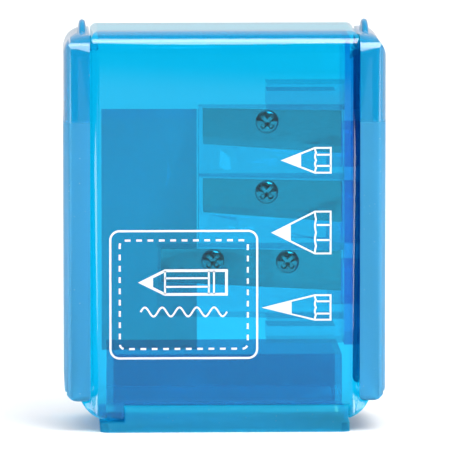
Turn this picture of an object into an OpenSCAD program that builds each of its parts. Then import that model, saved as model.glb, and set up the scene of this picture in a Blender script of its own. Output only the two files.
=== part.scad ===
// Hand-held pencil sharpener: three fixed blades in a clear case with hinged side covers.
// X runs from the left cover to the right cover, -Y is the front, Z is up, and Z = 0 is the floor.

/* [Case] */
// Height of the flat top above the floor
case_top = 70.6; // [70:0.1:72]
// Depth of the whole body from front to back
case_d = 26; // [25.6:0.2:27]
// Width of the part of the case that shows between the covers
body_w = 47; // [46.6:0.1:47.2]
// Thickness of the case walls
wall = 1.3; // [1.2:0.05:1.4]
// Radius of the long front and back edges of the top
edge_r = 3.8; // [3.2:0.1:4]

/* [Covers] */
// Width of the whole object over both covers
total_w = 56.6; // [56.4:0.1:57]
// Thickness of the cover walls
skirt = 1.2; // [1.1:0.05:1.2]
// Radius of the finger tab on top of each cover
tab_r = 6; // [5.5:0.1:6.5]
// Thickness of the finger tab
tab_t = 1.9; // [1.5:0.1:1.9]

/* [Tray] */
// Height of the tray rim above the floor
tray_rim = 13.5; // [10:0.5:13.5]
// Width of the base plate
base_w = 44; // [42:0.5:44]

/* [Pencils] */
// Radius of the standard and the long-point pencil holes
pencil_r = 4.1; // [3.8:0.1:4.2]
// Radius of the jumbo pencil hole
jumbo_r = 5.6; // [5.2:0.1:5.6]

/* [Hidden] */
$fn = 48;

gap = 0.15;                        // running gap between neighbouring mouldings
eps = 0.01;
far = 200;                         // longer than anything in the object

// Case
case_base = 1.8;                   // underside of the case
cheek_x = 25.9;                    // outer face of the side walls, under the covers
cheek_y = case_d / 2 - skirt - gap;
cheek_top = case_top - 2;          // the covers close over the cheeks
low_r = 6.2;                       // rounded lower corners of the cheeks
body_low_r = 3.8;                  // the same between the covers
top_r = 1.4;                       // outer corners of the flat top
cheek_r = 3;                       // upper corners of the cheeks
small_r = 1.5;                     // upright edges, and the long edges underneath
seam_y = -case_d / 2 + edge_r;     // where the front shell meets the back shell

// Covers
cover_in = body_w / 2 + 0.2;
cover_out = total_w / 2;
cover_low = 5.4;
cover_high = case_top - 0.6;
shoulder_r = 4.0;                  // outer upper corner
foot_r = 2.6;                      // outer lower corner
side_r = 2.6;                      // outer vertical corners
wall_low = 7.1;                    // lower end of the outer wall, clear of the case as it swings

// Hinges
hinge_x = 24.7;
hinge_z = 6.4;
stub_r = 0.6;
stub_gap = 0.05;
stub_end = cheek_y - wall + 0.15;

// Tray
plate_h = 1.65;
tray_x = 20.65;
tray_y = case_d / 2 - 2.25;
tray_gap = 0.25;
tray_wall = 1.2;
lip_left = -17.6;
lip_right = 21.7;
lip_top = 4.6;

// Label, flush in a shallow recess in the back
label_x = -21.4;
label_z = 11.4;
label_w = 17.1;
label_h = 43.4;
label_t = 0.12;

// Pencil plate and windows in the side walls
plate_in = 21.1;
window_low = 19.2;
window_high = 54.4;
window_y = 8.2;
plate_low = 15;
plate_y = 9.2;                     // half its depth
straight = 2;                      // straight part of each pencil hole inside its block
unit_depth = 6.6;                  // back face of the blocks, behind the pencil axes

// One cutter: [pencil radius, half angle, axis height, block bottom, block top, left end, blade left,
//              blade height, screw positions from the blade's left end, screw height above the axis]
standard = [pencil_r, 11.5, 49.7, 43.9, 56.2, -4.3, -3.5, 6.4, [11.6], 4.2];
jumbo = [jumbo_r, 13.5, 37.6, 31.4, 43.8, -4.3, -3.5, 6.1, [11.6], 3.9];
long_point = [pencil_r, 7.5, 25.2, 19.0, 31.3, -11.6, -11, 6, [9.3, 22.6], 3.9];

blade_t = 0.5;
bite = 0.15;                       // the blade's plane cuts this far into the cone
bevel_h = 1.3;
edge_drop = 1.2;                   // the cutting edge runs down towards the pencil plate
screw_r = 0.9;
head_r = 2.05;
head_h = 1.1;
thread_h = 1.6;                    // length of each screw inside its block

// Rectangle from z = low to z = high over x = -half..half, with its lower and upper corners rounded
module rounded(half, low, high, low_corner, high_corner) {
  translate([-half, low + low_corner]) square([2 * half, high - low - low_corner - high_corner]);
  translate([-half + low_corner, low]) square([2 * (half - low_corner), low_corner + eps]);
  translate([-half + high_corner, high - high_corner - eps])
    square([2 * (half - high_corner), high_corner + eps]);
  for (s = [-1, 1]) {
    translate([s * (half - low_corner), low + low_corner]) circle(low_corner);
    translate([s * (half - high_corner), high - high_corner]) circle(high_corner);
  }
}

// Extrudes an outline that is drawn in X and Z along Y, over the whole depth
module front_view() {
  rotate([90, 0, 0]) linear_extrude(height = far, center = true) children();
}

// Extrudes an outline that is drawn in Y and Z along X, over the whole width
module side_view() {
  rotate([90, 0, 90]) linear_extrude(height = far, center = true) children();
}

// The closed outer form of the case, with every face moved inwards by inset
module case_block(inset) {
  intersection() {
    union() {
      // the part that shows between the covers
      intersection() {
        front_view() rounded(body_w / 2 - inset, case_base + inset, case_top - inset,
                             body_low_r - inset, top_r - inset);
        side_view() rounded(case_d / 2 - inset, case_base + inset, case_top - inset,
                            small_r - inset, edge_r - inset);
        linear_extrude(far)
          rounded(body_w / 2 - inset, inset - case_d / 2, case_d / 2 - inset,
                  small_r - inset, small_r - inset);
      }
      // the cheeks, which lie under the covers
      intersection() {
        front_view() rounded(cheek_x - inset, case_base + inset, cheek_top - inset,
                             low_r - inset, cheek_r - inset);
        side_view() rounded(cheek_y - inset, case_base + inset, cheek_top - inset,
                            small_r - inset, edge_r - 1 - inset);
      }
    }
    front_view() rounded(cheek_x - inset, case_base + inset, case_top - inset,
                         low_r - inset, top_r - inset);
  }
}

module hinge_hole() {
  for (s = [-1, 1])
    for (f = [-1, 1])
      translate([s * hinge_x, f * cheek_y, hinge_z])
        rotate([90, 0, 0])
          cylinder(h = 2 * (wall + 0.05), r = stub_r + stub_gap, center = true);
}

// Recess in the back for the label
module label_recess() {
  translate([label_x - gap, case_d / 2 - label_t, label_z - gap])
    cube([label_w + 2 * gap, 1, label_h + 2 * gap]);
}

// Both case shells in one, with all their openings
module case_walls() {
  difference() {
    case_block(0);
    case_block(wall);
    // opening for the tray
    translate([-tray_x - tray_gap, -tray_y - tray_gap, 0])
      cube([2 * (tray_x + tray_gap), 2 * (tray_y + tray_gap), case_base + wall + 1]);
    // cut-out for the lip
    translate([lip_left - tray_gap, -case_d, 0])
      cube([lip_right - lip_left + 2 * tray_gap, case_d - tray_y + tray_gap, lip_top + tray_gap]);
    // windows in both side walls
    for (s = [-1, 1])
      translate([s * cheek_x - wall - 1, -window_y, window_low])
        cube([2 * wall + 2, 2 * window_y, window_high - window_low]);
    hinge_hole();
    label_recess();
  }
}

module front_shell() {
  color("deepskyblue", 0.6)
    intersection() {
      case_walls();
      translate([-far / 2, seam_y - far, -far / 2]) cube(far);
    }
}

module back_shell() {
  color("deepskyblue", 0.6)
    intersection() {
      case_walls();
      translate([-far / 2, seam_y, -far / 2]) cube(far);
    }
}

// Outline of a cover from one side: square towards the case, round towards its free end at high
module half_rounded(half, high, corner) {
  rotate(-90) rounded(half, 0, high, 1, corner);
}

// The closed outer form of the right cover, with every face moved inwards by inset
module cover_block(inset, low) {
  reach = 20;
  intersection() {
    front_view() intersection() {
      translate([cover_out - reach - inset, 0])
        rounded(reach, low, cover_high - inset, foot_r - inset, shoulder_r - inset);
      translate([cover_in - inset, 0]) square([reach, far]);
    }
    side_view() rounded(case_d / 2 - inset, low, cover_high - inset, 1.3 - inset, edge_r - inset);
    linear_extrude(far) half_rounded(case_d / 2 - inset, cover_out - inset, side_r - inset);
  }
}

module cover() {
  inner_y = case_d / 2 - skirt;
  difference() {
    cover_block(0, cover_low);
    // the hollow, which is open below and towards the case
    cover_block(skirt, cover_low - 3);
    // the outer wall ends above the skirts, so that it clears the case as it swings
    translate([0, -inner_y, 0]) cube([far, 2 * inner_y, wall_low]);
    // the skirts end in a round foot about the hinge
    front_view() difference() {
      square([hinge_x, hinge_z]);
      translate([hinge_x, hinge_z]) circle(hinge_z - cover_low);
    }
  }
  stub_h = inner_y + 0.3 - stub_end;
  for (f = [-1, 1])
    translate([hinge_x, f * (stub_end + stub_h / 2), hinge_z])
      rotate([90, 0, 0]) cylinder(h = stub_h, r = stub_r, center = true);
  finger_tab();
}

// Part of a disc, which thins towards its round rim
module finger_tab() {
  tab_low = cover_high - skirt + 0.1;
  tab_rise = 2;
  rim_r = 0.6;
  rim_at = tab_r - rim_r;
  intersection() {
    translate([cover_in + 0.3 + tab_t / 2, 0, cover_high + tab_rise - tab_r]) rotate([0, 90, 0])
      rotate_extrude() {
        polygon([
          [0, -tab_t / 2],
          [tab_r - tab_rise, -tab_t / 2],
          [rim_at, -rim_r],
          [rim_at, rim_r],
          [tab_r - tab_rise, tab_t / 2],
          [0, tab_t / 2]
        ]);
        intersection() {
          translate([rim_at, 0]) circle(rim_r);
          translate([rim_at - eps, -rim_r]) square([rim_r + 1, 2 * rim_r]);
        }
      }
    translate([0, -far / 2, tab_low]) cube([far, far, far]);
  }
}

module right_cover() {
  color("dodgerblue", 0.8) cover();
}

module left_cover() {
  color("dodgerblue", 0.8) mirror([1, 0, 0]) cover();
}

module shavings_tray() {
  color("dodgerblue", 0.9) {
    difference() {
      union() {
        // base plate
        intersection() {
          translate([-base_w / 2, -case_d / 2, 0]) cube([base_w, case_d, plate_h]);
          linear_extrude(far) rotate(-90) rounded(case_d / 2, -base_w / 2, base_w / 2, 1.5, 1.5);
        }
        // tray
        translate([-tray_x, -tray_y, plate_h - eps])
          cube([2 * tray_x, 2 * tray_y, tray_rim - plate_h + eps]);
        // lip
        translate([lip_left, -case_d / 2, plate_h - eps])
          cube([lip_right - lip_left, case_d / 2 - tray_y + eps, lip_top - plate_h + eps]);
      }
      translate([-tray_x + tray_wall, -tray_y + tray_wall, plate_h])
        cube([2 * (tray_x - tray_wall), 2 * (tray_y - tray_wall), tray_rim]);
    }
  }
}

module pencil_plate() {
  boss_y = window_y - gap;
  color("midnightblue")
    difference() {
      union() {
        translate([plate_in, -plate_y, plate_low])
          cube([cheek_x - wall - plate_in, 2 * plate_y, cheek_top - cheek_r - plate_low]);
        // thinner part that reaches the top of the case
        translate([plate_in, -plate_y, plate_low])
          cube([body_w / 2 - wall - gap - plate_in, 2 * plate_y, case_top - wall - gap - plate_low]);
        translate([plate_in + 1, -boss_y, window_low + gap])
          cube([cheek_x - plate_in - 1, 2 * boss_y, window_high - window_low - 2 * gap]);
      }
      for (unit = [standard, jumbo, long_point])
        translate([plate_in - 1, 0, unit[2]]) rotate([0, 90, 0]) cylinder(h = 10, r = unit[0]);
    }
}

// A bracket with a slot along it, between the blocks and the end of the pencil plate
module clip(low, high) {
  left = 7.6;
  half_depth = 5;
  clip_wall = 1.2;
  color("royalblue")
    difference() {
      translate([left, -half_depth, low]) cube([plate_in - left, 2 * half_depth, high - low]);
      translate([left - 1, -half_depth - 1, low + clip_wall])
        cube([plate_in - left - 0.4, 2 * half_depth - 1, high - low - 2 * clip_wall]);
    }
}

module upper_clip() {
  clip(standard[4], 60.8);
}

module lower_clip() {
  clip(14.8, long_point[3]);
}

// Moves to the blade's left end: local X runs along the blade, local -Y is outwards, Z = 0 is the axis
module on_face(unit) {
  cone_start = plate_in - straight;
  slope = tan(unit[1]);
  translate([unit[6], bite - unit[0] + (cone_start - unit[6]) * slope, unit[2]])
    rotate([0, 0, -unit[1]]) children();
}

module cutter_block(unit) {
  cone_start = plate_in - straight;
  slope = tan(unit[1]);
  tip_r = 0.6;
  cone_h = (unit[0] - tip_r) / slope;
  mouth_left = 6;
  mouth_right = plate_in - unit[6] - 2.5;
  mouth_depth = 2.2;
  mouth_h = 4.2;
  color("slateblue")
    difference() {
      translate([unit[5], -far / 2, unit[3]])
        cube([plate_in - unit[5], far / 2 + unit_depth, unit[4] - unit[3]]);
      // the sloping face that carries the blade
      on_face(unit) translate([-far / 2, -far, -far / 2]) cube([far, far, far]);
      // mouth under the cutting edge, where the shavings come out
      on_face(unit) translate([mouth_left, -1, -mouth_h])
        cube([mouth_right - mouth_left, 1 + mouth_depth, mouth_h]);
      // tip hole, cone and pencil hole
      translate([0, 0, unit[2]]) rotate([0, 90, 0])
        rotate_extrude()
          polygon([
            [0, unit[5] - 1],
            [tip_r, unit[5] - 1],
            [tip_r, cone_start - cone_h],
            [unit[0], cone_start],
            [unit[0], plate_in + 1],
            [0, plate_in + 1]
          ]);
      for (x = unit[8])
        on_face(unit) translate([x, -1, unit[9]]) rotate([-90, 0, 0])
          cylinder(h = 1 + thread_h + 0.1, r = screw_r + 0.05);
    }
}

module block_standard() {
  cutter_block(standard);
}

module block_jumbo() {
  cutter_block(jumbo);
}

module block_long_point() {
  cutter_block(long_point);
}

module blade(unit) {
  length = (plate_in - unit[6] - 0.3) / cos(unit[1]);
  fall = atan(edge_drop / length);
  color("lightsteelblue")
    on_face(unit)
      difference() {
        rotate([90, 0, 0]) linear_extrude(blade_t)
          polygon([[0, 0], [length, -edge_drop], [length, unit[7]], [0, unit[7]]]);
        // ground bevel along the cutting edge
        rotate([0, fall, 0]) rotate([-atan(bevel_h / blade_t), 0, 0])
          translate([-1, -2, -far]) cube([length + 2, 2, far]);
        for (x = unit[8])
          translate([x, 1, unit[9]]) rotate([90, 0, 0]) cylinder(h = 3, r = 1.3);
      }
}

module blade_standard() {
  blade(standard);
}

module blade_jumbo() {
  blade(jumbo);
}

module blade_long_point() {
  blade(long_point);
}

// Pan-head screw with a cross recess
module screw(unit, which) {
  recess = 0.5;
  color("silver")
    on_face(unit) translate([unit[8][which], -blade_t, unit[9]]) rotate([90, 0, 0])
      difference() {
        union() {
          cylinder(h = head_h * 0.45, r = head_r);
          translate([0, 0, head_h * 0.45 - eps]) cylinder(h = head_h * 0.55, r1 = head_r, r2 = head_r * 0.7);
          translate([0, 0, -blade_t - thread_h]) cylinder(h = blade_t + thread_h + 0.1, r = screw_r);
        }
        for (turn = [0, 90])
          rotate(turn + 20) translate([-1.1, -recess / 2, head_h - 0.6]) cube([2.2, recess, 1]);
      }
}

module screw_standard() {
  screw(standard, 0);
}

module screw_jumbo() {
  screw(jumbo, 0);
}

module screw_long_inner() {
  screw(long_point, 0);
}

module screw_long_outer() {
  screw(long_point, 1);
}

module back_label() {
  color("white")
    translate([label_x, case_d / 2 - label_t, label_z]) cube([label_w, label_t, label_h]);
}

front_shell();
back_shell();
right_cover();
left_cover();
shavings_tray();
pencil_plate();
upper_clip();
lower_clip();
block_standard();
block_jumbo();
block_long_point();
blade_standard();
blade_jumbo();
blade_long_point();
screw_standard();
screw_jumbo();
screw_long_inner();
screw_long_outer();
back_label();
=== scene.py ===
"""Finishes, printed marks and studio for a hand-held pencil sharpener in a clear blue case.

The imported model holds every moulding, blade and screw. This file stands a smooth copy in for
each moulding, a finer head for each screw and a waved sheet for the label, and dresses the blades
as they are. It then prints the white marks on the front and sets the studio.
"""

import math

import bmesh
import bpy
import numpy as np
from bpy.props import FloatProperty, FloatVectorProperty, PointerProperty
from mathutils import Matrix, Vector


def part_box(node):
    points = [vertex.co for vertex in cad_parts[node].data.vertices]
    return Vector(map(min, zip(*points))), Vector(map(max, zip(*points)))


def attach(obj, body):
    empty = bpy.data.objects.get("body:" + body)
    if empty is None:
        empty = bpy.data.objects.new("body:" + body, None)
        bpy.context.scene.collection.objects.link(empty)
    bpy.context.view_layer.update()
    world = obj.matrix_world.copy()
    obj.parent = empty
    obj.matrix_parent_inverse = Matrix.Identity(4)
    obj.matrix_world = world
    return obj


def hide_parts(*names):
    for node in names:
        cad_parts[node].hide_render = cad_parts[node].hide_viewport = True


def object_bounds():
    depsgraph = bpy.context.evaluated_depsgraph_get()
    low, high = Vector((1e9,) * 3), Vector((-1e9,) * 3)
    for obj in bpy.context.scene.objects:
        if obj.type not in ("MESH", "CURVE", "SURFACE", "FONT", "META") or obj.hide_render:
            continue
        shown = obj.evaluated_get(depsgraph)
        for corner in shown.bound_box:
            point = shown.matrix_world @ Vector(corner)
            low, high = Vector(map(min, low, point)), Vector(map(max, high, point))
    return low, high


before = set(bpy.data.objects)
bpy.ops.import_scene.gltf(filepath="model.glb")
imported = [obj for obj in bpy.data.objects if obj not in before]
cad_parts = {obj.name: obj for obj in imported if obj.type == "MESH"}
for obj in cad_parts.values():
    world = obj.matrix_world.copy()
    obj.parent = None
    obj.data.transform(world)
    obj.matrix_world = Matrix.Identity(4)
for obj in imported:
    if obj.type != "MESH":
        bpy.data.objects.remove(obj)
CAD_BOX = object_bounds()

bl_info = {
    "name": "Pencil Sharpener Finishes",
    "version": (1, 0, 0),
    "blender": (4, 5, 0),
    "location": "View3D > Sidebar > Sharpener",
    "description": "Finishes, printed marks and studio of a pencil sharpener",
    "category": "Object",
}

MM = 0.001

# Surfaces
INSET = 0.02 * MM                   # mouldings stand this far inside their CAD faces
WELD = 1e-7                         # points closer than this are one point
CREASE = math.radians(32)           # sharper edges of a moulding stay sharp
HEAD_CREASE = math.radians(40)      # the same on a screw head
HEAD_STAND = 1.1 * MM               # from a screw's outermost face back to the foot of its head
HEAD_RISE = 1.08 * MM
LABEL_WAVE = 0.03 * MM
LABEL_HEADER = 1.8 * MM             # height of the pale blue band
PATCH_SHARE = 0.8                   # thickness of a filled mark, as a share of the ink film

# Where a moulding's finish changes
GLOSS_DEPTH = 17.1 * MM             # covers: polished this far down from the top of the finger tab
BASE_HEIGHT = 5.2 * MM              # tray: satin up to here

# Printed marks, from the front shell's lower left corner or right-hand side
SHOULDER_INSET = 10.15 * MM         # pictograms: from the shell's right side to the cone
BADGE_OFFSET = (5.7 * MM, 11.4 * MM)
BADGE_SIZE = (25.8 * MM, 22.5 * MM)
BADGE_RADIUS = 1.6 * MM
SEAM_INSET = 1.65 * MM              # badge: from its outer line to its stitches
SEAM_RADIUS = 0.9 * MM
SIGN_RISE = 13.4 * MM               # badge: from its lower line to the axis of its pencil


# ------------------------------------------------------------------------------------------------
# Sizes and colours
# ------------------------------------------------------------------------------------------------

def colour(name, description, default):
    """A colour property, in linear red, green and blue."""
    return FloatVectorProperty(
        name=name, description=description, default=default, subtype="COLOR", size=3, min=0, max=1)


def length(name, description, default):
    """A length property, in metres."""
    return FloatProperty(
        name=name, description=description, default=default, subtype="DISTANCE", unit="LENGTH")


class SharpenerPlastics(bpy.types.PropertyGroup):
    clear: colour("Clear case", "Tint of one wall of the clear case", (0.035, 0.70, 0.93))
    cover: colour("Satin cover", "Colour of the covers where they are satin", (0.06, 0.47, 0.80))
    gloss: colour(
        "Polished cover", "Colour of the covers where they are polished", (0.01, 0.42, 0.76))
    tray: colour("Tray", "Tint of the shavings tray's walls", (0.02, 0.60, 0.80))
    base: colour("Base plate", "Colour of the tray's base plate and lip", (0.10, 0.76, 1.0))
    plate: colour("Pencil plate", "Tint of the plate with the pencil holes", (0.28, 0.48, 0.84))
    block: colour("Blocks", "Tint of the clear blocks that hold the blades", (0.45, 0.82, 0.90))


class SharpenerPrint(bpy.types.PropertyGroup):
    film: length("Film", "Thickness of the printed ink", 0.03 * MM)
    line: length("Line", "Width of the pictograms' lines", 0.32 * MM)
    body: length("Body", "Length of the painted stub on each pictogram", 2.75 * MM)
    frame_line: length("Frame line", "Width of the badge's outer line", 0.37 * MM)
    stitch: length("Stitch", "Length of one stitch on the badge", 1.0 * MM)
    ink: colour("Ink", "Colour of the printed marks", (0.90, 0.94, 0.97))


class SharpenerStudio(bpy.types.PropertyGroup):
    distance: length("Distance", "From the camera to the middle of the object", 1.2)
    azimuth: FloatProperty(
        name="Azimuth", description="Camera angle about the object", default=math.radians(-1.8),
        subtype="ANGLE", unit="ROTATION")
    elevation: FloatProperty(
        name="Elevation", description="Camera angle above the object", default=math.radians(6.3),
        subtype="ANGLE", unit="ROTATION")
    key: FloatProperty(
        name="Key light", description="Power of the large soft light", default=4.5, unit="POWER")


# ------------------------------------------------------------------------------------------------
# Node helpers and shared effects
# ------------------------------------------------------------------------------------------------

def node(tree, kind, x=0, y=0, **values):
    """Adds a node of this kind; values set its properties, or its inputs where the name is one."""
    made = tree.nodes.new(kind)
    made.location = (x, y)
    for name, value in values.items():
        if hasattr(made, name):
            setattr(made, name, value)
        else:
            made.inputs[name.replace("_", " ")].default_value = value
    return made


def effect(name, inputs, outputs):
    """A new shader node group with these named inputs and outputs."""
    tree = bpy.data.node_groups.new(name, "ShaderNodeTree")
    for title, kind, default in inputs:
        socket = tree.interface.new_socket(title, in_out="INPUT", socket_type=kind)
        if default is not None:
            socket.default_value = default
    for title, kind in outputs:
        tree.interface.new_socket(title, in_out="OUTPUT", socket_type=kind)
    return tree, tree.nodes.new("NodeGroupInput"), tree.nodes.new("NodeGroupOutput")


def handling_wear():
    """Fine scratches and a slow clouding, as a polished moulding gets in a pencil case."""
    tree, given, out = effect(
        "Handling wear",
        [("Vector", "NodeSocketVector", None), ("Scratches", "NodeSocketFloat", 0.05),
         ("Smooth", "NodeSocketFloat", 0.03), ("Cloudy", "NodeSocketFloat", 0.12)],
        [("Roughness", "NodeSocketFloat"), ("Height", "NodeSocketFloat")])
    link = tree.links.new
    cloud = node(tree, "ShaderNodeTexNoise", -400, 200, Scale=90.0, Detail=3.0)
    link(given.outputs["Vector"], cloud.inputs["Vector"])
    spread = node(tree, "ShaderNodeMapping", -600, -200)
    spread.inputs["Rotation"].default_value = (0.3, 0.5, 0.9)
    spread.inputs["Scale"].default_value = (3.0, 3.0, 0.15)
    link(given.outputs["Vector"], spread.inputs["Vector"])
    hair = node(tree, "ShaderNodeTexNoise", -400, -200, Scale=2600.0, Detail=1.0)
    link(spread.outputs["Vector"], hair.inputs["Vector"])
    thin = node(tree, "ShaderNodeMapRange", -200, -200)
    thin.inputs["From Min"].default_value = 0.68
    thin.inputs["From Max"].default_value = 0.74
    link(hair.outputs["Fac"], thin.inputs["Value"])
    scratch = node(tree, "ShaderNodeMath", 0, -200, operation="MULTIPLY")
    link(thin.outputs["Result"], scratch.inputs[0])
    link(given.outputs["Scratches"], scratch.inputs[1])
    level = node(tree, "ShaderNodeMapRange", 0, 200)
    level.inputs["From Min"].default_value = 0.35
    level.inputs["From Max"].default_value = 0.75
    link(cloud.outputs["Fac"], level.inputs["Value"])
    link(given.outputs["Smooth"], level.inputs["To Min"])
    link(given.outputs["Cloudy"], level.inputs["To Max"])
    total = node(tree, "ShaderNodeMath", 200, 100, operation="ADD")
    link(level.outputs["Result"], total.inputs[0])
    link(scratch.outputs["Value"], total.inputs[1])
    link(total.outputs["Value"], out.inputs["Roughness"])
    link(scratch.outputs["Value"], out.inputs["Height"])
    return tree


def moulding_flow():
    """Slow changes of shade and tiny pale specks, as in tinted plastic that flowed into a mould."""
    tree, given, out = effect(
        "Moulding flow",
        [("Vector", "NodeSocketVector", None), ("Color", "NodeSocketColor", (0.1, 0.4, 0.8, 1)),
         ("Variation", "NodeSocketFloat", 0.08), ("Specks", "NodeSocketFloat", 0.3)],
        [("Color", "NodeSocketColor")])
    link = tree.links.new
    flow = node(tree, "ShaderNodeTexNoise", -600, 200, Scale=45.0, Detail=2.0, Distortion=0.6)
    link(given.outputs["Vector"], flow.inputs["Vector"])
    swing = node(tree, "ShaderNodeMapRange", -400, 200)
    swing.inputs["To Min"].default_value = -1.0
    link(flow.outputs["Fac"], swing.inputs["Value"])
    amount = node(tree, "ShaderNodeMath", -200, 200, operation="MULTIPLY_ADD")
    link(swing.outputs["Result"], amount.inputs[0])
    link(given.outputs["Variation"], amount.inputs[1])
    amount.inputs[2].default_value = 1.0
    shade = node(tree, "ShaderNodeHueSaturation", 0, 200)
    link(given.outputs["Color"], shade.inputs["Color"])
    link(amount.outputs["Value"], shade.inputs["Value"])
    dots = node(tree, "ShaderNodeTexVoronoi", -600, -200, Scale=1100.0)
    link(given.outputs["Vector"], dots.inputs["Vector"])
    near = node(tree, "ShaderNodeMapRange", -400, -200)
    near.inputs["From Min"].default_value = 0.16
    near.inputs["From Max"].default_value = 0.08
    link(dots.outputs["Distance"], near.inputs["Value"])
    pick = node(tree, "ShaderNodeSeparateColor", -400, -400)
    link(dots.outputs["Color"], pick.inputs["Color"])
    few = node(tree, "ShaderNodeMath", -200, -400, operation="GREATER_THAN")
    link(pick.outputs["Red"], few.inputs[0])
    few.inputs[1].default_value = 0.8
    mask = node(tree, "ShaderNodeMath", 0, -300, operation="MULTIPLY")
    link(near.outputs["Result"], mask.inputs[0])
    link(few.outputs["Value"], mask.inputs[1])
    strength = node(tree, "ShaderNodeMath", 100, -150, operation="MULTIPLY")
    link(mask.outputs["Value"], strength.inputs[0])
    link(given.outputs["Specks"], strength.inputs[1])
    mix = node(tree, "ShaderNodeMix", 300, 0, data_type="RGBA")
    link(strength.outputs["Value"], mix.inputs["Factor"])
    link(shade.outputs["Color"], mix.inputs["A"])
    mix.inputs["B"].default_value = (0.75, 0.9, 1.0, 1)
    link(mix.outputs["Result"], out.inputs["Color"])
    return tree


def grinding_lines():
    """Parallel hair lines along one direction, as a ground or rolled steel strip has."""
    tree, given, out = effect(
        "Grinding lines",
        [("Vector", "NodeSocketVector", None),
         ("Stretch", "NodeSocketVector", (60.0, 3000.0, 3000.0)),
         ("Low", "NodeSocketFloat", 0.18), ("High", "NodeSocketFloat", 0.38)],
        [("Roughness", "NodeSocketFloat"), ("Height", "NodeSocketFloat")])
    link = tree.links.new
    scaled = node(tree, "ShaderNodeVectorMath", -600, 0, operation="MULTIPLY")
    link(given.outputs["Vector"], scaled.inputs[0])
    link(given.outputs["Stretch"], scaled.inputs[1])
    lines = node(tree, "ShaderNodeTexNoise", -400, 0, Scale=1.0, Detail=4.0)
    link(scaled.outputs["Vector"], lines.inputs["Vector"])
    level = node(tree, "ShaderNodeMapRange", -200, 0)
    level.inputs["From Min"].default_value = 0.3
    level.inputs["From Max"].default_value = 0.7
    link(lines.outputs["Fac"], level.inputs["Value"])
    link(given.outputs["Low"], level.inputs["To Min"])
    link(given.outputs["High"], level.inputs["To Max"])
    link(level.outputs["Result"], out.inputs["Roughness"])
    link(lines.outputs["Fac"], out.inputs["Height"])
    return tree


def shared(name):
    """The shader node group of this effect, built when it is first asked for."""
    makers = {
        "Handling wear": handling_wear,
        "Moulding flow": moulding_flow,
        "Grinding lines": grinding_lines,
    }
    return bpy.data.node_groups.get(name) or makers[name]()


def start_material(name):
    """A material with only its shader and Object coordinates: returns (material, shader, place)."""
    made = bpy.data.materials.new(name)
    made.use_nodes = True
    tree = made.node_tree
    shader = tree.nodes["Principled BSDF"]
    place = node(tree, "ShaderNodeTexCoord", -1200, 0)
    return made, shader, place.outputs["Object"]


def use_effect(material, name, place, y, **values):
    """Adds a shared effect to a material; values set its inputs."""
    tree = material.node_tree
    made = node(tree, "ShaderNodeGroup", -700, y)
    made.node_tree = shared(name)
    tree.links.new(place, made.inputs["Vector"])
    for title, value in values.items():
        made.inputs[title].default_value = value
    return made


def add_bump(material, shader, height, strength, distance):
    """Lets a height socket roughen the shader's surface."""
    tree = material.node_tree
    bump = node(tree, "ShaderNodeBump", -200, -400, Strength=strength, Distance=distance)
    tree.links.new(height, bump.inputs["Height"])
    tree.links.new(bump.outputs["Normal"], shader.inputs["Normal"])


def dress(name, material):
    """Gives a CAD node this material in every slot."""
    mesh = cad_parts[name].data
    mesh.materials.clear()
    mesh.materials.append(material)


# ------------------------------------------------------------------------------------------------
# Materials
# ------------------------------------------------------------------------------------------------

def clear_plastic(name, tint):
    """Clear tinted styrene: sharp, with fine scratches and a trace of haze."""
    made, shader, place = start_material(name)
    link = made.node_tree.links.new
    flow = use_effect(
        made, "Moulding flow", place, 200, Color=(*tint, 1), Variation=0.03, Specks=0.0)
    wear = use_effect(
        made, "Handling wear", place, -200, Scratches=0.08, Smooth=0.0, Cloudy=0.03)
    link(flow.outputs["Color"], shader.inputs["Base Color"])
    link(wear.outputs["Roughness"], shader.inputs["Roughness"])
    add_bump(made, shader, wear.outputs["Height"], 0.1, 0.02 * MM)
    shader.inputs["Transmission Weight"].default_value = 1.0
    shader.inputs["IOR"].default_value = 1.0
    shader.inputs["Coat Weight"].default_value = 1.0
    shader.inputs["Coat Roughness"].default_value = 0.02
    return made


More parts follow.
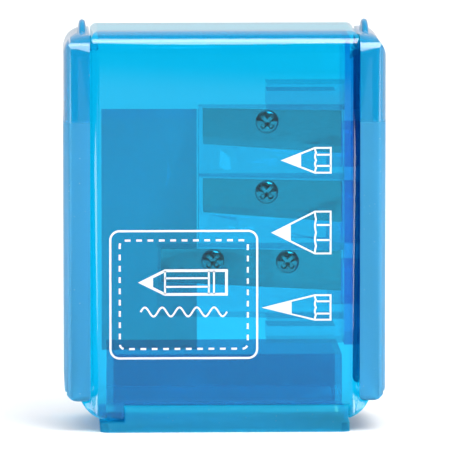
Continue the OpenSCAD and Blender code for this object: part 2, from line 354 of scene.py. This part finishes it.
def zoned_plastic(name, satin, gloss, gloss_low, transmission, ior):
    """A moulding that is polished above gloss_low and satin below it, part clear all over.

    The change is spread over a millimetre. Satin adds 0.3 to the roughness and takes the coat away.
    """
    made, shader, place = start_material(name)
    tree = made.node_tree
    link = tree.links.new
    flow = use_effect(made, "Moulding flow", place, 200, Variation=0.05, Specks=0.35)
    wear = use_effect(
        made, "Handling wear", place, -200, Scratches=0.04, Smooth=0.04, Cloudy=0.10)
    height = node(tree, "ShaderNodeSeparateXYZ", -900, -500)
    link(place, height.inputs["Vector"])
    zone = node(tree, "ShaderNodeMapRange", -700, -500)
    zone.interpolation_type = "SMOOTHSTEP"
    zone.inputs["From Min"].default_value = gloss_low - 0.5 * MM
    zone.inputs["From Max"].default_value = gloss_low + 0.5 * MM
    zone.inputs["To Min"].default_value = 1.0
    zone.inputs["To Max"].default_value = 0.0
    link(height.outputs["Z"], zone.inputs["Value"])
    total = node(tree, "ShaderNodeMath", -400, -300, operation="MULTIPLY_ADD")
    link(zone.outputs["Result"], total.inputs[0])
    total.inputs[1].default_value = 0.30
    link(wear.outputs["Roughness"], total.inputs[2])
    both = node(tree, "ShaderNodeMix", -900, 300, data_type="RGBA")
    both.inputs["A"].default_value = (*gloss, 1)
    both.inputs["B"].default_value = (*satin, 1)
    link(zone.outputs["Result"], both.inputs["Factor"])
    link(both.outputs["Result"], flow.inputs["Color"])
    link(flow.outputs["Color"], shader.inputs["Base Color"])
    link(total.outputs["Value"], shader.inputs["Roughness"])
    add_bump(made, shader, wear.outputs["Height"], 0.1, 0.02 * MM)
    shader.inputs["Transmission Weight"].default_value = transmission
    shader.inputs["IOR"].default_value = ior
    polish = node(tree, "ShaderNodeMath", -400, -700, operation="MULTIPLY_ADD")
    link(zone.outputs["Result"], polish.inputs[0])
    polish.inputs[1].default_value = -0.5
    polish.inputs[2].default_value = 0.5
    link(polish.outputs["Value"], shader.inputs["Coat Weight"])
    shader.inputs["Coat Roughness"].default_value = 0.03
    return made


def steel(name, tint, stretch, low, high):
    """Ground steel with hair lines, whose roughness runs from low to high."""
    made, shader, place = start_material(name)
    link = made.node_tree.links.new
    flow = use_effect(
        made, "Moulding flow", place, 200, Color=(*tint, 1), Variation=0.08, Specks=0.0)
    lines = use_effect(
        made, "Grinding lines", place, -200, Stretch=stretch, Low=low, High=high)
    link(flow.outputs["Color"], shader.inputs["Base Color"])
    link(lines.outputs["Roughness"], shader.inputs["Roughness"])
    add_bump(made, shader, lines.outputs["Height"], 0.05, 0.002 * MM)
    shader.inputs["Metallic"].default_value = 1.0
    return made


def label_film(name, header_low):
    """Thin milky label film that lets light through, with a faint fibre and a blue band on top."""
    made, shader, place = start_material(name)
    tree = made.node_tree
    link = tree.links.new
    fibre = node(tree, "ShaderNodeTexNoise", -700, -200, Scale=1800.0, Detail=4.0)
    link(place, fibre.inputs["Vector"])
    flow = use_effect(made, "Moulding flow", place, 200, Variation=0.04, Specks=0.0)
    height = node(tree, "ShaderNodeSeparateXYZ", -1000, 300)
    link(place, height.inputs["Vector"])
    band = node(tree, "ShaderNodeMapRange", -800, 300)
    band.inputs["From Min"].default_value = header_low
    band.inputs["From Max"].default_value = header_low + 0.1 * MM
    link(height.outputs["Z"], band.inputs["Value"])
    both = node(tree, "ShaderNodeMix", -600, 300, data_type="RGBA")
    both.inputs["A"].default_value = (0.85, 0.86, 0.89, 1)
    both.inputs["B"].default_value = (0.10, 0.84, 0.92, 1)
    link(band.outputs["Result"], both.inputs["Factor"])
    link(both.outputs["Result"], flow.inputs["Color"])
    link(flow.outputs["Color"], shader.inputs["Base Color"])
    shader.inputs["Roughness"].default_value = 0.5
    shader.inputs["Transmission Weight"].default_value = 0.65
    shader.inputs["IOR"].default_value = 1.0
    add_bump(made, shader, fibre.outputs["Fac"], 0.25, 0.02 * MM)
    return made


def ink(name, tint):
    """White screen-printing ink, slightly uneven, which lets a little light through."""
    made, shader, place = start_material(name)
    tree = made.node_tree
    link = tree.links.new
    flow = use_effect(
        made, "Moulding flow", place, 200, Color=(*tint, 1), Variation=0.04, Specks=0.0)
    grain = node(tree, "ShaderNodeTexNoise", -700, -200, Scale=4000.0, Detail=2.0)
    link(place, grain.inputs["Vector"])
    level = node(tree, "ShaderNodeMapRange", -500, -200)
    level.inputs["To Min"].default_value = 0.35
    level.inputs["To Max"].default_value = 0.6
    link(grain.outputs["Fac"], level.inputs["Value"])
    link(flow.outputs["Color"], shader.inputs["Base Color"])
    link(level.outputs["Result"], shader.inputs["Roughness"])
    shader.inputs["Transmission Weight"].default_value = 0.3
    shader.inputs["IOR"].default_value = 1.0
    return made


def floor_paint(name):
    """Plain pale floor with a faint unevenness."""
    made, shader, place = start_material(name)
    tree = made.node_tree
    grain = node(tree, "ShaderNodeTexNoise", -900, 0, Scale=40)
    tree.links.new(place, grain.inputs["Vector"])
    tone = node(tree, "ShaderNodeMix", -600, 0, data_type="RGBA")
    tone.inputs["A"].default_value = (0.885, 0.885, 0.885, 1)
    tone.inputs["B"].default_value = (0.915, 0.915, 0.915, 1)
    tree.links.new(grain.outputs["Fac"], tone.inputs["Factor"])
    tree.links.new(tone.outputs["Result"], shader.inputs["Base Color"])
    shader.inputs["Roughness"].default_value = 0.6
    return made


def finish_of(name, maker, *values):
    """The material of this name, made when it is first asked for."""
    return bpy.data.materials.get(name) or maker(name, *values)


# ------------------------------------------------------------------------------------------------
# Surfaces
# ------------------------------------------------------------------------------------------------

def stroke(points, width, closed):
    """Corner points of a flat line: each point moved both ways along the mitre of its corner.

    points is an n by 2 array. A mitre is at most 1 / 0.35 of half the width long. Returns the left
    and the right edge, each n by 2.
    """
    p = np.asarray(points, float)
    before = np.roll(p, 1, axis=0)
    after = np.roll(p, -1, axis=0)
    if not closed:
        before[0] = 2 * p[0] - p[1]
        after[-1] = 2 * p[-1] - p[-2]
    into = p - before
    out = after - p
    into /= np.linalg.norm(into, axis=1, keepdims=True)
    out /= np.linalg.norm(out, axis=1, keepdims=True)
    side_in = np.stack([-into[:, 1], into[:, 0]], axis=1)
    side_out = np.stack([-out[:, 1], out[:, 0]], axis=1)
    mitre = side_in + side_out
    mitre /= np.linalg.norm(mitre, axis=1, keepdims=True)
    reach = width / 2 / np.maximum(np.sum(mitre * side_in, axis=1, keepdims=True), 0.35)
    return p + mitre * reach, p - mitre * reach


def ink_bar(points, width, closed, front, film):
    """A printed line as a closed thin solid: the stroke's two edges at the wall and at the film."""
    left, right = stroke(points, width, closed)
    n = len(left)
    ring = np.empty((n, 4, 3))
    face = front - film
    sides = [(left, front), (right, front), (right, face), (left, face)]
    for corner, (edge, y) in enumerate(sides):
        ring[:, corner, 0] = edge[:, 0]
        ring[:, corner, 1] = y
        ring[:, corner, 2] = edge[:, 1]
    spans = np.arange(n if closed else n - 1)
    after = (spans + 1) % n
    corner = np.arange(4)
    nxt = (corner + 1) % 4
    quads = np.stack([
        spans[:, None] * 4 + corner,
        spans[:, None] * 4 + nxt,
        after[:, None] * 4 + nxt,
        after[:, None] * 4 + corner,
    ], axis=-1).reshape(-1, 4)
    if not closed:
        caps = np.stack([corner[::-1], (n - 1) * 4 + corner])
        quads = np.concatenate([quads, caps])
    return ring.reshape(-1, 3), quads.tolist()


def ink_patch(outline, front, film):
    """A filled convex mark: its outline at the wall and at its face, with a side for each edge."""
    p = np.asarray(outline, float)
    n = len(p)
    at_wall = np.stack([p[:, 0], np.full(n, front), p[:, 1]], axis=1)
    at_face = at_wall - np.array([0, film * PATCH_SHARE, 0])
    edge = np.arange(n)
    after = (edge + 1) % n
    sides = np.stack([edge, after, after + n, edge + n], axis=1).tolist()
    return np.concatenate([at_wall, at_face]), [edge[::-1].tolist(), (edge + n).tolist()] + sides


def piece_from(name, parts, material, body):
    """One object from several (points, faces) parts; its place is in its mesh."""
    points, faces, base = [], [], 0
    for co, polygons in parts:
        points.append(co)
        faces += [[corner + base for corner in polygon] for polygon in polygons]
        base += len(co)
    mesh = bpy.data.meshes.new(name)
    mesh.from_pydata(np.concatenate(points).tolist(), [], faces)
    mesh.materials.append(material)
    mesh.validate()
    mesh.update()
    made = bpy.data.objects.new(name, mesh)
    bpy.context.scene.collection.objects.link(made)
    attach(made, body)
    return made


def moulding(name, material, body):
    """A welded, smooth-shaded copy of a CAD node that stands for it.

    Each point moves inward along its own normal by INSET, so that no two clear walls touch.
    """
    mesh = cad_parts[name].data.copy()
    mesh.name = name + "_moulding"
    work = bmesh.new()
    work.from_mesh(mesh)
    bmesh.ops.remove_doubles(work, verts=work.verts, dist=WELD)
    bmesh.ops.dissolve_degenerate(work, edges=work.edges, dist=WELD)
    bmesh.ops.recalc_face_normals(work, faces=work.faces)
    work.to_mesh(mesh)
    work.free()
    count = len(mesh.vertices)
    co, normal = np.empty(count * 3), np.empty(count * 3)
    mesh.vertices.foreach_get("co", co)
    mesh.vertex_normals.foreach_get("vector", normal)
    mesh.vertices.foreach_set("co", co - normal * INSET)
    mesh.polygons.foreach_set("use_smooth", np.ones(len(mesh.polygons), bool))
    mesh.set_sharp_from_angle(angle=CREASE)
    mesh.materials.clear()
    mesh.materials.append(material)
    mesh.update()
    made = bpy.data.objects.new(mesh.name, mesh)
    bpy.context.scene.collection.objects.link(made)
    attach(made, body)
    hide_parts(name)


def screw_head(centre, front, radius, height):
    """A domed screw head with a cross recess, seen from the front (-Y), closed by a flat back.

    Over polar coordinates (r, a), with r from nearly 0 to 1 at the rim, the face stands at height
    times the root of one minus dome times r squared. The recess is a trough with sloping sides
    along each of two crossed lines, deepest in the middle, and the rim falls to rim_share of the
    height.
    """
    rings, around = 40, 96
    dome, rim_start, rim_share = 0.8, 0.94, 0.12
    recess_half, recess_side, recess_end, recess_ramp = 0.20, 0.05, 0.70, 0.10
    recess_deep, recess_rise = 0.85, 0.4
    r, a = np.meshgrid(
        np.linspace(0.01, 1, rings), np.arange(around) * 2 * math.pi / around, indexing="ij")
    x, z = r * np.cos(a + math.pi / 4), r * np.sin(a + math.pi / 4)
    across = np.minimum(np.abs(r * np.cos(a)), np.abs(r * np.sin(a)))
    trough = (np.clip((recess_half - across) / recess_side, 0, 1)
              * np.clip((recess_end - r) / recess_ramp, 0, 1))
    face = height * (np.sqrt(1 - dome * r * r) - trough * (recess_deep - recess_rise * r))
    rim = np.clip((r - rim_start) / (1 - rim_start), 0, 1)
    face = face * (1 - rim) + rim_share * height * rim
    across_x, up_z = centre.x + radius * x, centre.z + radius * z
    top = np.stack([across_x, front - face, up_z], axis=-1).reshape(-1, 3)
    foot = np.stack([across_x[-1], np.full(around, front), up_z[-1]], axis=-1)
    ring = np.arange(rings - 1)[:, None] * around
    spot = np.arange(around)
    after = (spot + 1) % around
    outer = ring + around
    quads = np.stack([ring + spot, ring + after, outer + after, outer + spot], axis=-1)
    last = (rings - 1) * around
    n = rings * around
    wall = np.stack([last + spot, last + after, n + after, n + spot], axis=1)
    faces = quads.reshape(-1, 4).tolist() + wall.tolist()
    faces += [spot[::-1].tolist(), (n + spot).tolist()]
    return np.concatenate([top, foot]), faces


def arc(centre, radius, start, end, steps=12):
    """Points along an arc: centre plus radius times the cosine and sine of evenly spread angles."""
    turn = np.radians(np.linspace(start, end, steps))
    return np.stack([centre[0] + radius * np.cos(turn), centre[1] + radius * np.sin(turn)], axis=1)


def round_frame(low, high, radius):
    """Closed outline of a rectangle from low to high whose corners are quarter circles."""
    x0, z0 = low
    x1, z1 = high
    return np.concatenate([
        arc((x1 - radius, z0 + radius), radius, -90, 0),
        arc((x1 - radius, z1 - radius), radius, 0, 90),
        arc((x0 + radius, z1 - radius), radius, 90, 180),
        arc((x0 + radius, z0 + radius), radius, 180, 270),
    ])


def label_sheet(low, high, slack):
    """A paper label: a sheet whose outer side waves a little and whose inner side is flat.

    Over the unit square (u, v) the wave is slack times the product of a sine in u and a sine in v,
    zero along the edges, times a slower wave of both. The outer side falls by half of it.
    """
    across, up = 18, 44
    u, v = np.meshgrid(np.linspace(0, 1, across), np.linspace(0, 1, up))
    x = low.x + u * (high.x - low.x)
    z = low.z + v * (high.z - low.z)
    swell = np.abs(np.sin(math.pi * u) * np.sin(math.pi * v))
    wave = slack * swell * (0.6 + 0.4 * np.sin(9 * v + 5 * u))
    outer = np.stack([x, high.y - wave * 0.5, z], axis=-1).reshape(-1, 3)
    inner = np.stack([x, np.full_like(x, low.y + slack), z], axis=-1).reshape(-1, 3)
    n = across * up
    a = (np.arange(up - 1)[:, None] * across + np.arange(across - 1)).reshape(-1)
    back = np.stack([a, a + across, a + across + 1, a + 1], axis=1)
    face = np.stack([a, a + 1, a + across + 1, a + across], axis=1) + n
    rim = np.concatenate([
        np.arange(across), np.arange(1, up) * across + across - 1,
        (up - 1) * across + np.arange(across - 2, -1, -1), np.arange(up - 2, 0, -1) * across])
    after = np.roll(rim, -1)
    sides = np.stack([rim, after, after + n, rim + n], axis=1)
    return np.concatenate([outer, inner]), np.concatenate([back, face, sides]).tolist()


def pencil_tip(shoulder, middle, thick, cone, lead, stripe, body, line, front, film):
    """A pencil's end, tip to the left: outline, filled lead, rippled paint edge and two stripes.

    shoulder is where the cone meets the painted stub and middle is the axis's height. lead is the
    share of the cone that is filled, and stripe is the stripes' distance from the axis as a share
    of half the thickness. The paint's edge follows the absolute value of a sine, with three half
    waves over the thickness.
    """
    half = thick / 2
    end = shoulder + body
    outline = [(end, middle - half), (end, middle + half), (shoulder, middle + half),
               (shoulder - cone, middle), (shoulder, middle - half)]
    reach = shoulder - cone * (1 - lead)
    point = [(shoulder - cone, middle), (reach, middle - half * lead),
             (reach, middle + half * lead)]
    parts = [ink_bar(outline, line, True, front, film), ink_patch(point, front, film)]
    run = np.linspace(-1, 1, 31)
    ripple = shoulder + line * (0.55 - 0.55 * np.abs(np.sin(1.5 * math.pi * run)))
    edge = np.stack([ripple, middle + run * (half - line / 2)], axis=1)
    parts.append(ink_bar(edge, line, False, front, film))
    for s in (-1, 1):
        level = middle + s * half * stripe
        parts.append(ink_bar([(shoulder + line, level), (end, level)], line, False, front, film))
    return parts


def stitches(path, size, width, front, film):
    """Dashes along a closed line: an even number of spans of about size, every second printed."""
    steps = 4
    count = 2 * round(along(path, 2)[1] / size / 2)
    spots = along(path, count * steps + 1)[0]
    return [ink_bar(spots[i * steps:(i + 1) * steps + 1], width, False, front, film)
            for i in range(0, count, 2)]


def pencil_sign(middle, level, line, front, film):
    """A plain pencil lying flat, tip to the left, over a thin wavy line like a shaving: a sine."""
    half, tip, body, cap, band = 2.1 * MM, 4.2 * MM, 8.6 * MM, 2.2 * MM, 0.9 * MM
    lead, stripe, bold = 0.5, 0.36, 1.5
    wave_long, wave_drop, wave_high, waves = 15.2 * MM, 5.2 * MM, 0.8 * MM, 5
    left = middle - (tip + body + cap) / 2
    paint, end = left + tip, left + tip + body
    outline = [(end + cap, level - half), (end + cap, level + half), (paint, level + half),
               (left, level), (paint, level - half)]
    point = [(left, level), (left + tip * lead, level - half * lead),
             (left + tip * lead, level + half * lead)]
    parts = [ink_bar(outline, line * bold, True, front, film), ink_patch(point, front, film)]
    for x in (paint, end - band, end):
        parts.append(ink_bar([(x, level - half), (x, level + half)], line, False, front, film))
    for s in (-1, 1):
        height = level + s * half * stripe
        parts.append(ink_bar([(paint, height), (end - band, height)], line, False, front, film))
    u = np.linspace(0, 1, 97)
    wave = np.stack([middle + (u - 0.5) * wave_long,
                     level - wave_drop + wave_high * np.sin(2 * waves * math.pi * u)], axis=1)
    parts.append(ink_bar(wave, line, False, front, film))
    return parts


def along(points, count):
    """count points spread evenly over a closed line, back to its start, and the line's length."""
    p = np.concatenate([points, points[:1]])
    run = np.concatenate([[0], np.cumsum(np.linalg.norm(np.diff(p, axis=0), axis=1))])
    at = np.linspace(0, run[-1], count)
    return np.stack([np.interp(at, run, p[:, 0]), np.interp(at, run, p[:, 1])], axis=1), run[-1]


def studio_world():
    """White all round for what is seen or seen through; reflections find a studio of soft boxes.

    Reflections are bright towards the back, below the table's edge, in a box overhead that reaches
    from the front to the middle, and in a box low down on each side. The boxes count for the first
    bounces only.
    """
    world = bpy.data.worlds.new("studio")
    world.use_nodes = True
    tree = world.node_tree
    link = tree.links.new
    white = tree.nodes["Background"]
    white.inputs["Color"].default_value = (1, 1, 1, 1)
    white.inputs["Strength"].default_value = 1.15
    toward = node(tree, "ShaderNodeTexCoord", -1300, 0)
    axes = node(tree, "ShaderNodeSeparateXYZ", -1100, 0)
    link(toward.outputs["Generated"], axes.inputs["Vector"])
    aside = node(tree, "ShaderNodeMath", -900, -700, operation="ABSOLUTE")
    link(axes.outputs["X"], aside.inputs[0])

    def ramp(source, start, end, bottom, top):
        """A smooth change from bottom to top while the source goes from start to end."""
        made = node(tree, "ShaderNodeMapRange", -700)
        made.interpolation_type = "SMOOTHSTEP"
        for title, value in (
                ("From Min", start), ("From Max", end), ("To Min", bottom), ("To Max", top)):
            made.inputs[title].default_value = value
        link(source, made.inputs["Value"])
        return made.outputs["Result"]

    def combine(operation, first, second):
        """A maths node on two sockets."""
        made = node(tree, "ShaderNodeMath", -400, operation=operation)
        link(first, made.inputs[0])
        link(second, made.inputs[1])
        return made.outputs["Value"]

    behind = ramp(axes.outputs["Y"], -0.35, 0.6, 0.02, 0.8)
    table = ramp(axes.outputs["Z"], -0.056, -0.048, 0.7, 0.0)
    over = combine("MULTIPLY", ramp(axes.outputs["Z"], 0.44, 0.48, 0.0, 10.0),
                   ramp(axes.outputs["Y"], -0.15, -0.05, 1.0, 0.0))
    sides = combine("MULTIPLY", ramp(aside.outputs["Value"], 0.70, 0.78, 0.0, 6.0),
                    ramp(axes.outputs["Z"], 0.0, 0.05, 1.0, 0.0))
    path = node(tree, "ShaderNodeLightPath", -1100, 400)
    first = ramp(path.outputs["Ray Depth"], 3.2, 3.8, 1.0, 0.0)
    boxes = combine("MULTIPLY", combine("MAXIMUM", over, sides), first)
    total = combine("MAXIMUM", combine("MAXIMUM", behind, table), boxes)
    soft = node(tree, "ShaderNodeBackground", -200, -100)
    soft.inputs["Color"].default_value = (0.93, 0.95, 1.0, 1)
    link(total, soft.inputs["Strength"])
    mix = node(tree, "ShaderNodeMixShader", 0, 0)
    link(path.outputs["Is Glossy Ray"], mix.inputs[0])
    link(white.outputs["Background"], mix.inputs[1])
    link(soft.outputs["Background"], mix.inputs[2])
    link(mix.outputs["Shader"], tree.nodes["World Output"].inputs["Surface"])
    return world


# ------------------------------------------------------------------------------------------------
# Operators
# ------------------------------------------------------------------------------------------------

def plastics():
    """The colours of the plastics."""
    return bpy.context.scene.sharpener_plastics


def prints():
    """The sizes and the colour of the printed marks."""
    return bpy.context.scene.sharpener_print


class SHARPENER_OT_case(bpy.types.Operator):
    """Makes both shells of the case in clear plastic"""
    bl_idname = "sharpener.case"
    bl_label = "Clear case"

    def execute(self, context):
        material = finish_of("clear_case", clear_plastic, plastics().clear)
        for name in ("front_shell", "back_shell"):
            moulding(name, material, "case")
        return {"FINISHED"}


class SHARPENER_OT_covers(bpy.types.Operator):
    """Makes both side covers in their half gloss, half satin plastic"""
    bl_idname = "sharpener.covers"
    bl_label = "Side covers"

    def execute(self, context):
        colours = plastics()
        gloss_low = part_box("right_cover")[1].z - GLOSS_DEPTH
        material = finish_of(
            "side_covers", zoned_plastic, colours.cover, colours.gloss, gloss_low, 0.55, 1.3)
        for name in ("right_cover", "left_cover"):
            moulding(name, material, name)
        return {"FINISHED"}


class SHARPENER_OT_tray(bpy.types.Operator):
    """Makes the shavings tray, clear with a satin base"""
    bl_idname = "sharpener.tray"
    bl_label = "Shavings tray"

    def execute(self, context):
        colours = plastics()
        gloss_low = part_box("shavings_tray")[0].z + BASE_HEIGHT
        material = finish_of(
            "tray_plastic", zoned_plastic, colours.base, colours.tray, gloss_low, 0.85, 1.0)
        moulding("shavings_tray", material, "tray")
        return {"FINISHED"}


class SHARPENER_OT_cutters(bpy.types.Operator):
    """Makes the plate, the blocks, the clips, the blades and the screws"""
    bl_idname = "sharpener.cutters"
    bl_label = "Cutters"

    def execute(self, context):
        colours = plastics()
        plate = finish_of("plate_plastic", clear_plastic, colours.plate)
        block = finish_of("block_plastic", clear_plastic, colours.block)
        blade = finish_of(
            "ground_blade", steel, (0.52, 0.50, 0.50), (60.0, 3000.0, 3000.0), 0.14, 0.26)
        screw = finish_of("pan_head", steel, (0.45, 0.42, 0.40), (900.0, 900.0, 900.0), 0.08, 0.16)
        moulding("pencil_plate", plate, "case")
        for name in list(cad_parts):
            if name.startswith("block_") or name.endswith("_clip"):
                moulding(name, block, "case")
            if name.startswith("blade_"):
                dress(name, blade)
            if name.startswith("screw_"):
                low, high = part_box(name)
                part = screw_head(
                    (low + high) / 2, low.y + HEAD_STAND, (high.x - low.x) / 2, HEAD_RISE)
                made = piece_from(name + "_head", [part], screw, "case")
                mesh = made.data
                mesh.polygons.foreach_set("use_smooth", np.ones(len(mesh.polygons), bool))
                mesh.set_sharp_from_angle(angle=HEAD_CREASE)
                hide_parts(name)
        return {"FINISHED"}


class SHARPENER_OT_label(bpy.types.Operator):
    """Makes the blank paper label on the back"""
    bl_idname = "sharpener.label"
    bl_label = "Back label"

    def execute(self, context):
        low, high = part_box("back_label")
        material = finish_of("label_film", label_film, high.z - LABEL_HEADER)
        sheet = label_sheet(low, high, LABEL_WAVE)
        label = piece_from("label_sheet", [sheet], material, "case")
        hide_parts("back_label")
        return {"FINISHED"}


class SHARPENER_OT_pictograms(bpy.types.Operator):
    """Prints the three pencil tips beside their blades"""
    bl_idname = "sharpener.pictograms"
    bl_label = "Pictograms"

    def execute(self, context):
        sizes = prints()
        front = CAD_BOX[0][1]
        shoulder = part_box("front_shell")[1].x - SHOULDER_INSET
        white = finish_of("white_ink", ink, sizes.ink)
        # Rise above the block's foot, thickness and cone in mm, then the lead's and stripes' shares
        tips = {
            "standard": (4.2, 4.37, 5.6, 0.56, 0.45),
            "jumbo": (3.95, 7.4, 7.35, 0.42, 0.36),
            "long_point": (3.1, 4.35, 8.9, 0.54, 0.5),
        }
        for name, (rise, thick, cone, lead, stripe) in tips.items():
            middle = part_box("block_" + name)[0].z + rise * MM
            parts = pencil_tip(
                shoulder, middle, thick * MM, cone * MM, lead, stripe, sizes.body, sizes.line,
                front, sizes.film)
            piece_from("pictogram_" + name, parts, white, "case")
        return {"FINISHED"}


class SHARPENER_OT_badge(bpy.types.Operator):
    """Prints the plain stitched badge with a pencil sign"""
    bl_idname = "sharpener.badge"
    bl_label = "Badge"

    def execute(self, context):
        sizes = prints()
        front = CAD_BOX[0][1]
        white = finish_of("white_ink", ink, sizes.ink)
        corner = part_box("front_shell")[0]
        low = np.array([corner.x, corner.z]) + BADGE_OFFSET
        high = low + BADGE_SIZE
        outer = round_frame(low, high, BADGE_RADIUS)
        seam = round_frame(low + SEAM_INSET, high - SEAM_INSET, SEAM_RADIUS)
        middle = (low[0] + high[0]) / 2
        marks = {
            "badge_frame": [ink_bar(outer, sizes.frame_line, True, front, sizes.film)],
            "badge_stitches": stitches(seam, sizes.stitch, sizes.frame_line, front, sizes.film),
            "badge_sign": pencil_sign(middle, low[1] + SIGN_RISE, sizes.line, front, sizes.film),
        }
        for name, parts in marks.items():
            piece_from(name, parts, white, "case")
        return {"FINISHED"}


class SHARPENER_OT_stage(bpy.types.Operator):
    """Makes the floor, the world, the key light and the camera"""
    bl_idname = "sharpener.stage"
    bl_label = "Studio"

    def execute(self, context):
        scene = context.scene
        studio = scene.sharpener_studio
        low, high = CAD_BOX
        middle = (Vector(low) + Vector(high)) / 2

        mesh = bpy.data.meshes.new("floor")
        half = 3.0
        corners = [(-half, -half, 0), (half, -half, 0), (half, half, 0), (-half, half, 0)]
        mesh.from_pydata(corners, [], [(0, 1, 2, 3)])
        mesh.materials.append(finish_of("floor", floor_paint))
        floor = bpy.data.objects.new("floor", mesh)
        scene.collection.objects.link(floor)
        floor.visible_glossy = False

        scene.world = studio_world()

        light = bpy.data.lights.new("key", "AREA")
        light.energy = studio.key
        light.size = 0.5
        key = bpy.data.objects.new("key", light)
        key.location = (0.25, -0.35, 0.75)
        key.rotation_euler = (middle - key.location).to_track_quat("-Z", "Y").to_euler()
        scene.collection.objects.link(key)

        camera_data = bpy.data.cameras.new("camera")
        camera_data.lens = 541
        camera_data.clip_end = 20
        camera = bpy.data.objects.new("camera", camera_data)
        flat = studio.distance * math.cos(studio.elevation)
        target = middle + Vector((0.35 * MM, 0, -0.7 * MM))
        camera.location = target + Vector((
            flat * math.sin(studio.azimuth),
            -flat * math.cos(studio.azimuth),
            studio.distance * math.sin(studio.elevation)))
        camera.rotation_euler = (target - camera.location).to_track_quat("-Z", "Y").to_euler()
        scene.collection.objects.link(camera)
        scene.camera = camera
        scene.view_settings.view_transform = "Standard"
        return {"FINISHED"}


class SHARPENER_PT_panel(bpy.types.Panel):
    """Lists the sharpener's operators"""
    bl_idname = "SHARPENER_PT_panel"
    bl_label = "Pencil sharpener"
    bl_space_type = "VIEW_3D"
    bl_region_type = "UI"
    bl_category = "Sharpener"

    def draw(self, context):
        for operator in OPERATORS:
            self.layout.operator(operator.bl_idname)


GROUPS = (SharpenerPlastics, SharpenerPrint, SharpenerStudio)
OPERATORS = (
    SHARPENER_OT_case,
    SHARPENER_OT_covers,
    SHARPENER_OT_tray,
    SHARPENER_OT_cutters,
    SHARPENER_OT_label,
    SHARPENER_OT_pictograms,
    SHARPENER_OT_badge,
    SHARPENER_OT_stage,
)


def register():
    for item in GROUPS + OPERATORS + (SHARPENER_PT_panel,):
        bpy.utils.register_class(item)
    bpy.types.Scene.sharpener_plastics = PointerProperty(type=SharpenerPlastics)
    bpy.types.Scene.sharpener_print = PointerProperty(type=SharpenerPrint)
    bpy.types.Scene.sharpener_studio = PointerProperty(type=SharpenerStudio)


def unregister():
    del bpy.types.Scene.sharpener_studio
    del bpy.types.Scene.sharpener_print
    del bpy.types.Scene.sharpener_plastics
    for item in reversed(GROUPS + OPERATORS + (SHARPENER_PT_panel,)):
        bpy.utils.unregister_class(item)


def main():
    register()
    for operator in OPERATORS:
        section, action = operator.bl_idname.split(".")
        getattr(getattr(bpy.ops, section), action)()


if __name__ == "__main__":
    main()
